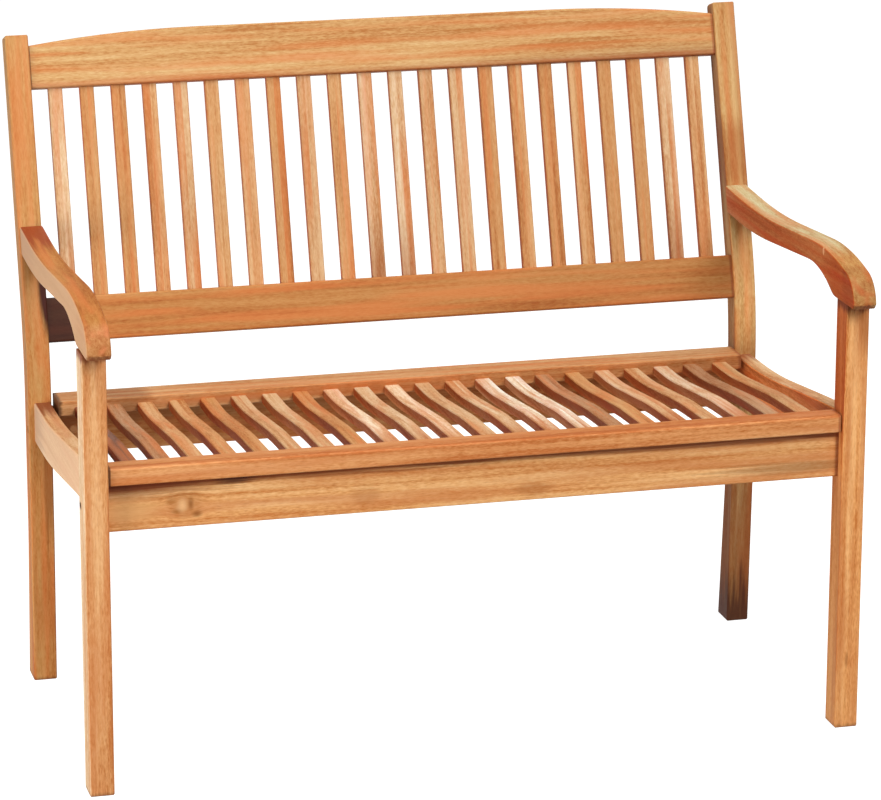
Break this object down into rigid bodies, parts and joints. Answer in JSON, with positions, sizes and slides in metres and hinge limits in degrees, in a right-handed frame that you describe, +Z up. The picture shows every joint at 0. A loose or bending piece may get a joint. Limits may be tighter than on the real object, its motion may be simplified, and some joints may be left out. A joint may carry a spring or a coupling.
{
  "type": "garden bench",
  "caption": "Slatted wooden garden bench for two, with a contoured seat, a raked back under a shallow arched top rail, and curved armrests on straight front legs.",
  "frame": {"origin": "bottom centre of the bench's outline, on the floor", "axes": "+X to the right seen from the front, +Y to the back, +Z up; the sitter faces -Y"},
  "size_m": [1.065, 0.6372, 0.905],
  "materials": {
    "leg_wood": "oiled, straight grain along the leg",
    "arm_wood": "oiled, worn smooth",
    "side_rail_wood": "oiled",
    "apron_wood": "oiled, grain along the board",
    "seat_rail_wood": "oiled, grain along the rail",
    "back_rail_wood": "oiled, grain along the rail",
    "back_slat_wood": "oiled, each slat its own tone",
    "seat_slat_wood": "oiled, each slat its own tone, some paler",
    "bolt_steel": "dull zinc plated",
    "dowel_wood": "bare turned beech"
  },
  "bodies": {
    "root": {"front_leg_left": "leg_wood", "rear_leg_left": "leg_wood", "armrest_left": "arm_wood", "side_rail_left": "side_rail_wood", "front_leg_right": "leg_wood", "rear_leg_right": "leg_wood", "armrest_right": "arm_wood", "side_rail_right": "side_rail_wood", "front_apron": "apron_wood", "rear_apron": "apron_wood", "seat_front_rail": "seat_rail_wood", "seat_rear_rail": "seat_rail_wood", "back_top_rail": "back_rail_wood", "back_bottom_rail": "back_rail_wood", "back_slat_01": "back_slat_wood", "back_slat_02": "back_slat_wood", "back_slat_03": "back_slat_wood", "back_slat_04": "back_slat_wood", "back_slat_05": "back_slat_wood", "back_slat_06": "back_slat_wood", "back_slat_07": "back_slat_wood", "back_slat_08": "back_slat_wood", "back_slat_09": "back_slat_wood", "back_slat_10": "back_slat_wood", "back_slat_11": "back_slat_wood", "back_slat_12": "back_slat_wood", "back_slat_13": "back_slat_wood", "back_slat_14": "back_slat_wood", "back_slat_15": "back_slat_wood", "back_slat_16": "back_slat_wood", "back_slat_17": "back_slat_wood", "back_slat_18": "back_slat_wood", "back_slat_19": "back_slat_wood", "back_slat_20": "back_slat_wood", "back_slat_21": "back_slat_wood", "back_slat_22": "back_slat_wood", "seat_slat_01": "seat_slat_wood", "seat_slat_02": "seat_slat_wood", "seat_slat_03": "seat_slat_wood", "seat_slat_04": "seat_slat_wood", "seat_slat_05": "seat_slat_wood", "seat_slat_06": "seat_slat_wood", "seat_slat_07": "seat_slat_wood", "seat_slat_08": "seat_slat_wood", "seat_slat_09": "seat_slat_wood", "seat_slat_10": "seat_slat_wood", "seat_slat_11": "seat_slat_wood", "seat_slat_12": "seat_slat_wood", "seat_slat_13": "seat_slat_wood", "seat_slat_14": "seat_slat_wood", "seat_slat_15": "seat_slat_wood", "seat_slat_16": "seat_slat_wood", "seat_slat_17": "seat_slat_wood", "seat_slat_18": "seat_slat_wood", "seat_slat_19": "seat_slat_wood", "seat_slat_20": "seat_slat_wood", "seat_slat_21": "seat_slat_wood", "seat_slat_22": "seat_slat_wood", "frame_bolts": "bolt_steel", "seat_dowels": "dowel_wood"}
  },
  "joints": []
}
